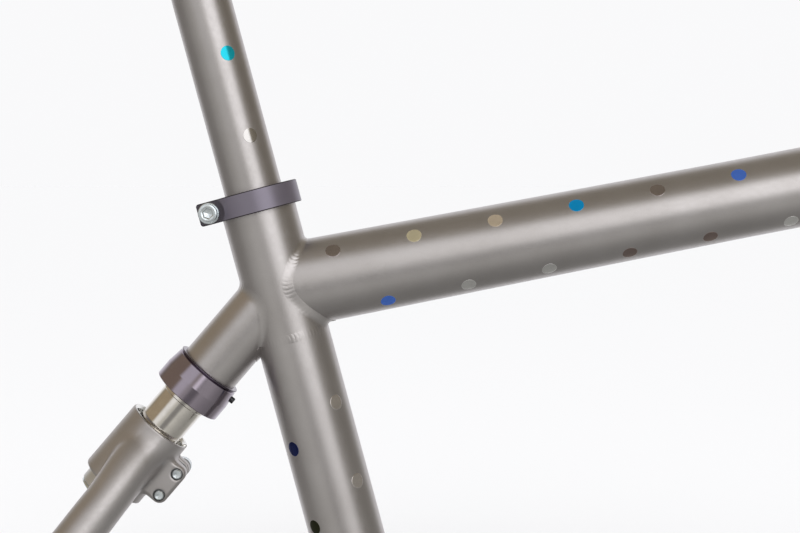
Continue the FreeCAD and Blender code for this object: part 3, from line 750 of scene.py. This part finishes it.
# Each arm leaves the barrel's side, bends once and runs on to the end of the stay.
STAY_LENGTH, ARM_TAIL, ARM_BEND_R, ARM_SPLAY = 22.0, 17.0, 144.5, 33.0
ARM_ROOT_R, STAY_R, STAY_WALL = 9.5, 10.2, 0.9
ARM_FLARE = 36.0               # length over which the arm grows to the stay's size
ARM_SWELL, SWELL_RUN = 0.21, (3.0, 30.0)     # how much its upper side swells towards the barrel
SPIGOT_R, SPIGOT_LENGTH = 8.75, 8.0
splay = np.array([stay_line.y, np.hypot(stay_line.x, stay_line.z)])    # outward and along
SPLAY_END = np.arctan2(*splay)
end_at = np.array([stay_end.y / MM, 0.0])
seam_at = end_at - splay * STAY_LENGTH
bend_centre = seam_at - splay * ARM_TAIL - ARM_BEND_R * np.array([splay[1], -splay[0]])


def smooth_min(a, b, reach):
    h = np.clip(reach - np.abs(a - b), 0, None) / reach
    return np.minimum(a, b) - h * h * reach / 4


def smooth_max(a, b, reach):
    return -smooth_min(-a, -b, reach)


def slab(value, low, high):
    return np.maximum(low - value, value - high)


def arm_distance(p):
    """Distance to the arms, which grow from the root's size to the stay's along their run."""
    x, y, z = p[..., 0], np.abs(p[..., 1]), p[..., 2]
    dy, dz = y - bend_centre[0], z - bend_centre[1]
    turn = np.arctan2(-dz, dy)
    root_turn = radians(ARM_SPLAY)
    in_root, in_tail = turn > root_turn, turn < SPLAY_END
    bend = np.hypot(dy, dz) - ARM_BEND_R
    root = dy * cos(root_turn) - dz * sin(root_turn) - ARM_BEND_R
    tail = dy * np.cos(SPLAY_END) - dz * np.sin(SPLAY_END) - ARM_BEND_R
    side = np.where(in_root, root, np.where(in_tail, tail, bend))
    bend_run = ARM_BEND_R * (root_turn - np.clip(turn, SPLAY_END, root_turn))
    to_seam = (y - seam_at[0]) * splay[0] + (z - seam_at[1]) * splay[1]
    run = bend_run + np.where(in_tail, np.clip(to_seam + ARM_TAIL, 0, None), 0)
    share = np.clip(run / ARM_FLARE, 0, 1)
    swell = np.clip((SWELL_RUN[1] - run) / (SWELL_RUN[1] - SWELL_RUN[0]), 0, 1)
    swell = 1 + ARM_SWELL * swell * swell * (3 - 2 * swell)
    x = np.where(x > 0, x / swell, x)
    return np.sqrt(x * x + side * side) - (ARM_ROOT_R + (STAY_R - ARM_ROOT_R) * share)


def rounded_plate(x, z, x0, x1, z0, z1, radius):
    """Distance in the plane to a rectangle with rounded corners."""
    dx = np.maximum(x0 + radius - x, x - (x1 - radius))
    dz = np.maximum(z0 + radius - z, z - (z1 - radius))
    outside = np.sqrt(np.clip(dx, 0, None) ** 2 + np.clip(dz, 0, None) ** 2)
    return outside + np.minimum(np.maximum(dx, dz), 0) - radius


strut_to_stay = np.array(STAY.inverted() @ STRUT)


def yoke_distance(p):
    """Signed distance to the yoke, for points in the strut's frame."""
    x, y, z = p[..., 0], p[..., 1], p[..., 2]
    q = p @ strut_to_stay[:3, :3].T + strut_to_stay[:3, 3]
    radial = np.sqrt(x * x + y * y)
    barrel = smooth_max(radial - YOKE_R, slab(z, YOKE_START, YOKE_END), BARREL_ROUND)
    arms = arm_distance(q)
    softer = np.clip((BLEND_FROM - x) / BLEND_RUN, 0, 1)
    body = smooth_min(barrel, arms, ARM_BLEND[0] + (ARM_BLEND[1] - ARM_BLEND[0]) * softer)
    outline = rounded_plate(x, z, -EAR_EDGE, EAR_ROOT, EAR_START, EAR_END, EAR_CORNER_R)
    face = np.abs(y) - EAR_FACE
    bevel = (outline + face + EAR_BEVEL) / np.sqrt(2)
    ears = smooth_max(smooth_max(outline, face, 0.3), bevel, 0.35)
    body = smooth_min(body, ears, EAR_BLEND)
    body = smooth_max(body, YOKE_START - z, EDGE_SOFTNESS)
    slit = np.maximum(np.abs(y) - EAR_HALF_GAP, x + SLIT_END)
    body = smooth_max(body, -slit, EDGE_SOFTNESS)
    bore = radial - SHAFT_BORE_R
    rim = np.maximum(radial - RIM_BORE_R, z - (YOKE_START + RIM_DEPTH))
    mouth = (radial - (YOKE_R - MOUTH_BEVEL) + z - YOKE_START) / np.sqrt(2)
    body = smooth_max(body, -np.minimum(bore, np.minimum(rim, mouth)), BORE_SOFTNESS)
    for at in BOLTS:
        from_bolt = np.hypot(x + BOLT_SIDE, z - at)
        sink = np.maximum((from_bolt - BOLT_SINK_R - face) / np.sqrt(2), face - 0.5)
        hole = np.minimum(from_bolt - np.where(y < 0, THREAD_HOLE_R, SHANK_HOLE_R), sink)
        body = smooth_max(body, -hole, HOLE_SOFTNESS)
    from_seam = (np.abs(q[..., 1]) - seam_at[0], q[..., 2] - seam_at[1])
    along = from_seam[0] * splay[0] + from_seam[1] * splay[1]
    off_line = from_seam[0] * splay[1] - from_seam[1] * splay[0]
    body = np.maximum(body, along)
    spigot = np.maximum(np.hypot(q[..., 0], off_line) - SPIGOT_R, slab(along, -2, SPIGOT_LENGTH))
    return np.minimum(body, spigot)


def make_yoke():
    """Meshes the distance field on a grid, then moves each point onto the surface itself."""
    low, high = np.array(GRID_LOW), np.array(GRID_HIGH)
    counts = np.ceil((high - low) / VOXEL).astype(int) + 1
    axes = [low[k] + VOXEL * np.arange(counts[k]) for k in range(3)]
    field = np.empty(counts, np.float32)
    for i, x in enumerate(axes[0]):
        y, z = np.meshgrid(axes[1], axes[2], indexing="ij")
        field[i] = yoke_distance(np.stack([x + 0 * y, y, z], -1))
    grid = openvdb.FloatGrid(2 * VOXEL)
    grid.copyFromArray(np.clip(field, -2, 2))
    points, faces = grid.convertToQuads(isovalue=0.0)
    points = points.astype(float) * VOXEL + low
    reach = 0.05
    for _ in range(4):
        value = yoke_distance(points)
        slope = np.stack([(yoke_distance(points + reach * e) - yoke_distance(points - reach * e))
                          / (2 * reach) for e in np.eye(3)], -1)
        size = np.clip((slope ** 2).sum(-1), 0.25, None)
        points = points - np.clip(value / size, -0.3, 0.3)[:, None] * slope
    faces = outward(points, faces.astype(int))
    piece("yoke_casting", points, faces, STRUT, yoke_titanium, "rear_assembly",
          replaces=("yoke",), sharp=55.0)


make_yoke()


def make_stay(name, side, replaces):
    """A tube from the seam with the yoke's arm to its plain cut end."""
    bore_r, lip, seam = STAY_R - STAY_WALL, 0.2, 0.02
    outline = [(SPIGOT_R + 0.05, seam), (STAY_R - lip, seam), (STAY_R, seam + lip)]
    outline += [(STAY_R, t) for t in np.linspace(2, STAY_LENGTH - lip, 12)]
    outline += [(STAY_R - lip, STAY_LENGTH), (bore_r + lip, STAY_LENGTH),
                (bore_r, STAY_LENGTH - lip), (bore_r, SPIGOT_LENGTH + 3),
                (SPIGOT_R + 0.05, SPIGOT_LENGTH + 1)]
    angle = np.arange(144) * 2 * pi / 144
    rings = []
    for radius, along in outline:
        off_line = radius * np.sin(angle)
        rings.append(np.stack([radius * np.cos(angle),
                               side * (seam_at[0] + along * splay[0] + off_line * splay[1]),
                               seam_at[1] + along * splay[1] - off_line * splay[0]], -1))
    points = np.concatenate(rings)
    faces = outward(points, wrapped_grid(len(rings), len(angle), True))
    piece(name, points, faces, STAY, titanium, "rear_assembly",
          replaces=replaces)


make_stay("seat_stay_tube_right", -1, ("seat_stay_right",))
make_stay("seat_stay_tube_left", 1, ("seat_stay_left",))


# ---- screws ----
def screw_mesh(length, head_r, head_height, key, key_depth, tip_r, shank_r=2.47):
    """A socket head screw along +Z: shank below z = 0, head above it, hexagonal socket on top."""
    columns = 144
    angle = np.arange(columns) * 2 * pi / columns
    sixth = (angle + pi / 6) % (pi / 3) - pi / 6
    hexagon_r = key / 2 / np.cos(sixth)
    top, edge = head_height, 0.3
    floor_z = top - key_depth
    rings = [(0.25, -length + 0.35), (tip_r - 0.35, -length + 0.05), (tip_r, -length),
             (tip_r + 0.15, -length + 0.1), (shank_r, -length + 0.8), (shank_r, -2), (shank_r, 0),
             (head_r - 0.1, 0), (head_r, 0.15), (head_r, top - edge), (head_r - 0.1, top - 0.1),
             (head_r - edge, top), (key / 2 + 1.0, top), (key / 2 + 0.85, top - 0.03),
             (1.12 * hexagon_r, top - 0.2), (hexagon_r, top - 0.4), (hexagon_r, floor_z + 0.2),
             (0.96 * hexagon_r, floor_z), (0.5 * hexagon_r, floor_z - 0.35), (0.1, floor_z - 0.7)]
    points = np.concatenate([circle(radius, angle, z) for radius, z in rings])
    return points, capped_grid(len(rings), columns)


def make_screws(name, member, body, replaces, seats, **sizes):
    """Screws with their heads' undersides at the seats: (x, y, z, side the head points to)."""
    every_point, every_face = [], []
    for x, y, z, side in seats:
        points, faces = screw_mesh(**sizes)
        turned = np.stack([points[:, 0] + x, side * points[:, 2] + y, -side * points[:, 1] + z], -1)
        start = sum(len(p) for p in every_point)
        every_point.append(turned)
        every_face += [tuple(v + start for v in face) for face in faces]
    made = piece(name, np.concatenate(every_point), every_face, member, plated_steel, body,
                 replaces=replaces, sharp=30.0)
    face_outward(made)


make_screws("pinch_bolt_pair", STRUT, "rear_assembly", ("pinch_bolts",),
            [(-BOLT_SIDE, EAR_FACE, at, 1) for at in BOLTS],
            length=2 * EAR_FACE + 0.15, head_r=4.2, head_height=4.6, key=4.0, key_depth=2.4,
            tip_r=1.85)
make_screws("clamp_bolt", SEAT, "front_frame", ("seat_clamp_bolt",),
            [(-CLAMP_BOLT_BACK, -LUG_FACE - WASHER_THICK, BAND_MIDDLE, -1)],
            length=2 * LUG_FACE + WASHER_THICK - 1, head_r=4.25, head_height=4.4, key=4.0,
            key_depth=2.4, tip_r=1.9)


# ---- coil spring ----
def make_spring():
    """The compression spring inside the strut, with closed ends ground flat."""
    low, high = local_box("coil_spring", STRUT)
    start, end = low[2], high[2]
    wire_r, turns, end_turns = 1.3, 8.5, 1.0
    coil_r = (high[1] - low[1]) / 2 - wire_r
    sides, steps = 20, 60
    count = int(turns * steps) + 1
    turn = np.linspace(0, turns, count)
    rise = np.clip((turn - end_turns) / (turns - 2 * end_turns), 0, 1)
    lead = wire_r * 1.6
    lead_in = np.clip(1 - turn / end_turns, 0, 1) * lead
    lead_out = np.clip((turn - turns + end_turns) / end_turns, 0, 1) * lead
    z = start + lead + (end - start - 2 * lead) * rise - lead_in + lead_out
    phi = 2 * pi * turn
    centre = circle(coil_r, phi, z)
    run = unit(np.gradient(centre, axis=0))
    radial = circle(1, phi, 0)
    up = unit(np.cross(run, radial))
    side = np.cross(up, run)
    rings = []
    for k in range(sides):
        a = 2 * pi * k / sides
        rings.append(centre + wire_r * (cos(a) * side + sin(a) * up))
    rings = np.transpose(np.array(rings), (1, 0, 2))
    rings[..., 2] = np.clip(rings[..., 2], start, end)
    made = piece("coil_spring_wire", rings.reshape(-1, 3), capped_grid(count, sides), STRUT,
                 spring_steel, None, replaces=("coil_spring",))
    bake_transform(made)


make_spring()


# ---- floor, light and camera ----
FLOOR_DROP = 0.012                    # below the lowest point, in metres
FLOOR_REACH = 60.0                    # to each side
STUDIO_WHITE = (0.95, 0.95, 0.96)
FLOOR_PAINT = (0.80, 0.80, 0.81)
ROOM_UPPER = (0.40, 0.352, 0.272)     # the room as the metal sees it
ROOM_LOWER = (0.58, 0.575, 0.55)
CEILING, GROUND = 0.60, 0.45          # of it, straight up and straight down
LEFT_SIDE, RIGHT_SIDE = 0.70, 0.50    # of it, towards -X and +X
WALL_WHITE = (0.92, 0.92, 0.94)       # the wall behind the cluster
WALL_FROM, WALL_TO = 0.48, 0.85       # where it fades in, as the Y of the direction
# Light and dark patches of the room as the metal sees them: azimuth (0 on the camera's side, 90
# on the +X side) and elevation in degrees, half width and half height as tangents, radiance.
SOFT_BOXES = (
    (-75, 38, 0.75, 0.36, (0.345, 0.28, 0.195)),     # a warm corner
    (24, 21, 0.42, 0.42, (1.65, 1.65, 1.65)),        # the key light
    (-26, 24, 0.32, 0.38, (0.85, 0.85, 0.85)),       # the fill light
    (1, -14, 0.24, 0.165, (0.25, 0.245, 0.24)),      # the camera's stand
    (-105, -14, 0.60, 0.30, (0.26, 0.25, 0.235)),    # a dark corner
)
BOX_EDGE = 0.11                       # half the width of their soft edge
LAMP, LAMP_SIZE = 0.35, 0.6           # radiance and width of the lamps that light matt parts
low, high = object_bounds()
middle = (low + high) / 2


def make_floor():
    """A pale floor so wide that its edge melts into the studio's white."""
    z = low.z - FLOOR_DROP
    mesh = bpy.data.meshes.new("floor")
    corners = [(x * FLOOR_REACH, y * FLOOR_REACH, z)
               for x, y in ((-1, -1), (1, -1), (1, 1), (-1, 1))]
    mesh.from_pydata(corners, [], [(0, 1, 2, 3)])
    floor = bpy.data.objects.new("floor", mesh)
    bpy.context.scene.collection.objects.link(floor)
    paint = bpy.data.materials.new("floor_paint")
    paint.use_nodes = True
    shader = paint.node_tree.nodes["Principled BSDF"]
    shader.inputs["Base Color"].default_value = (*FLOOR_PAINT, 1)
    shader.inputs["Roughness"].default_value = 0.9
    shader.inputs["Specular IOR Level"].default_value = 0.0
    mesh.materials.append(paint)
    floor.visible_glossy = False


def facing(azimuth, elevation):
    """Unit vector away from the object, with angles as in SOFT_BOXES."""
    a, e = radians(azimuth), radians(elevation)
    return Vector((sin(a) * cos(e), -cos(a) * cos(e), sin(e)))


def soft_lamp(name, azimuth, elevation, distance=0.8):
    """A large lamp that faces the object and only lights its matt parts and the floor."""
    away = facing(azimuth, elevation)
    data = bpy.data.lights.new(name, "AREA")
    data.shape = "DISK"
    data.size = LAMP_SIZE
    data.energy = LAMP * LAMP_SIZE * LAMP_SIZE * pi
    lamp = bpy.data.objects.new(name, data)
    lamp.location = middle + away * distance
    lamp.rotation_euler = away.to_track_quat("Z", "Y").to_euler()
    lamp.visible_camera = False
    lamp.visible_glossy = False
    bpy.context.scene.collection.objects.link(lamp)


def make_world():
    """Even white for the eye and the floor; metal sees a warm grey room with a white wall."""
    world = bpy.data.worlds.new("studio")
    bpy.context.scene.world = world
    world.use_nodes = True
    tree = world.node_tree
    new, link = tree.nodes.new, tree.links.new

    def ramp(value, from_low, from_high, to_low, to_high):
        made = new("ShaderNodeMapRange")
        made.interpolation_type = "SMOOTHSTEP"
        link(value, made.inputs["Value"])
        for socket, number in (("From Min", from_low), ("From Max", from_high),
                               ("To Min", to_low), ("To Max", to_high)):
            made.inputs[socket].default_value = number
        return made.outputs["Result"]

    def maths(operation, *values):
        made = new("ShaderNodeMath")
        made.operation = operation
        for socket, value in zip(made.inputs, values):
            link(value, socket)
        return made.outputs[0]

    def background(colour, strength=None):
        made = new("ShaderNodeBackground")
        made.inputs["Color"].default_value = (*colour, 1)
        if strength:
            link(strength, made.inputs["Strength"])
        return made.outputs["Background"]

    def blend(share, first, second):
        made = new("ShaderNodeMixShader")
        link(share, made.inputs[0])
        link(first, made.inputs[1])
        link(second, made.inputs[2])
        return made.outputs[0]

    def toward(axis):
        made = new("ShaderNodeVectorMath")
        made.operation = "DOT_PRODUCT"
        link(sight, made.inputs[0])
        made.inputs[1].default_value = axis
        return made.outputs["Value"]

    def soft_edged(offset, depth, reach):
        size = maths("ABSOLUTE", maths("DIVIDE", offset, depth))
        return ramp(size, reach - BOX_EDGE, reach + BOX_EDGE, 1, 0)

    def soft_box(azimuth, elevation, half_width, half_height):
        away = facing(azimuth, elevation)
        across = away.cross(Vector((0, 0, 1))).normalized()
        depth = toward(away)
        front = ramp(depth, 0.05, 0.15, 0, 1)
        box = maths("MULTIPLY", soft_edged(toward(across), depth, half_width),
                    soft_edged(toward(across.cross(away)), depth, half_height))
        return maths("MULTIPLY", front, box)

    sight = new("ShaderNodeTexCoord").outputs["Generated"]
    direction = new("ShaderNodeSeparateXYZ")
    link(sight, direction.inputs[0])
    wall = ramp(direction.outputs["Y"], WALL_FROM, WALL_TO, 0, 1)
    up = ramp(direction.outputs["Z"], 0.30, 0.95, 1.0, CEILING)
    down = ramp(direction.outputs["Z"], -0.97, -0.40, GROUND, 1.0)
    left = ramp(direction.outputs["X"], -0.95, -0.45, LEFT_SIDE, 1.0)
    right = ramp(direction.outputs["X"], 0.55, 0.95, 1.0, RIGHT_SIDE)
    level = maths("MULTIPLY", maths("MULTIPLY", up, down), maths("MULTIPLY", left, right))
    above = ramp(direction.outputs["Z"], -0.15, 0.35, 0, 1)
    room = blend(above, background(ROOM_LOWER, level), background(ROOM_UPPER, level))
    for *place, radiance in SOFT_BOXES:
        room = blend(soft_box(*place), room, background(radiance))
    seen_by_metal = blend(wall, room, background(WALL_WHITE))
    path = new("ShaderNodeLightPath")
    studio = background(STUDIO_WHITE)
    even = background(tuple(white / paint for white, paint in zip(STUDIO_WHITE, FLOOR_PAINT)))
    not_metal = blend(path.outputs["Is Camera Ray"], even, studio)
    everything = blend(path.outputs["Is Glossy Ray"], not_metal, seen_by_metal)
    link(everything, tree.nodes["World Output"].inputs["Surface"])


def make_camera():
    """Looks at the cluster from its right side, from a little above."""
    target = node + Vector((56.6, 0, 9.8)) * MM
    distance, yaw, pitch = 0.71583, -0.0156, 0.0562       # in metres and radians
    data = bpy.data.cameras.new("camera")
    data.sensor_width = 36.0
    data.lens = 68.357
    camera = bpy.data.objects.new("camera", data)
    forward = Vector((-sin(yaw) * cos(pitch), cos(yaw) * cos(pitch), -sin(pitch)))
    camera.location = target - forward * distance
    camera.rotation_euler = Euler((pi / 2 - pitch, 0, yaw))
    bpy.context.scene.collection.objects.link(camera)
    bpy.context.scene.camera = camera


make_floor()
make_world()
soft_lamp("key", 21, 40)
soft_lamp("fill", -40, 50)
make_camera()

scene = bpy.context.scene
scene.view_settings.view_transform = "Standard"
scene.cycles.max_bounces = 8
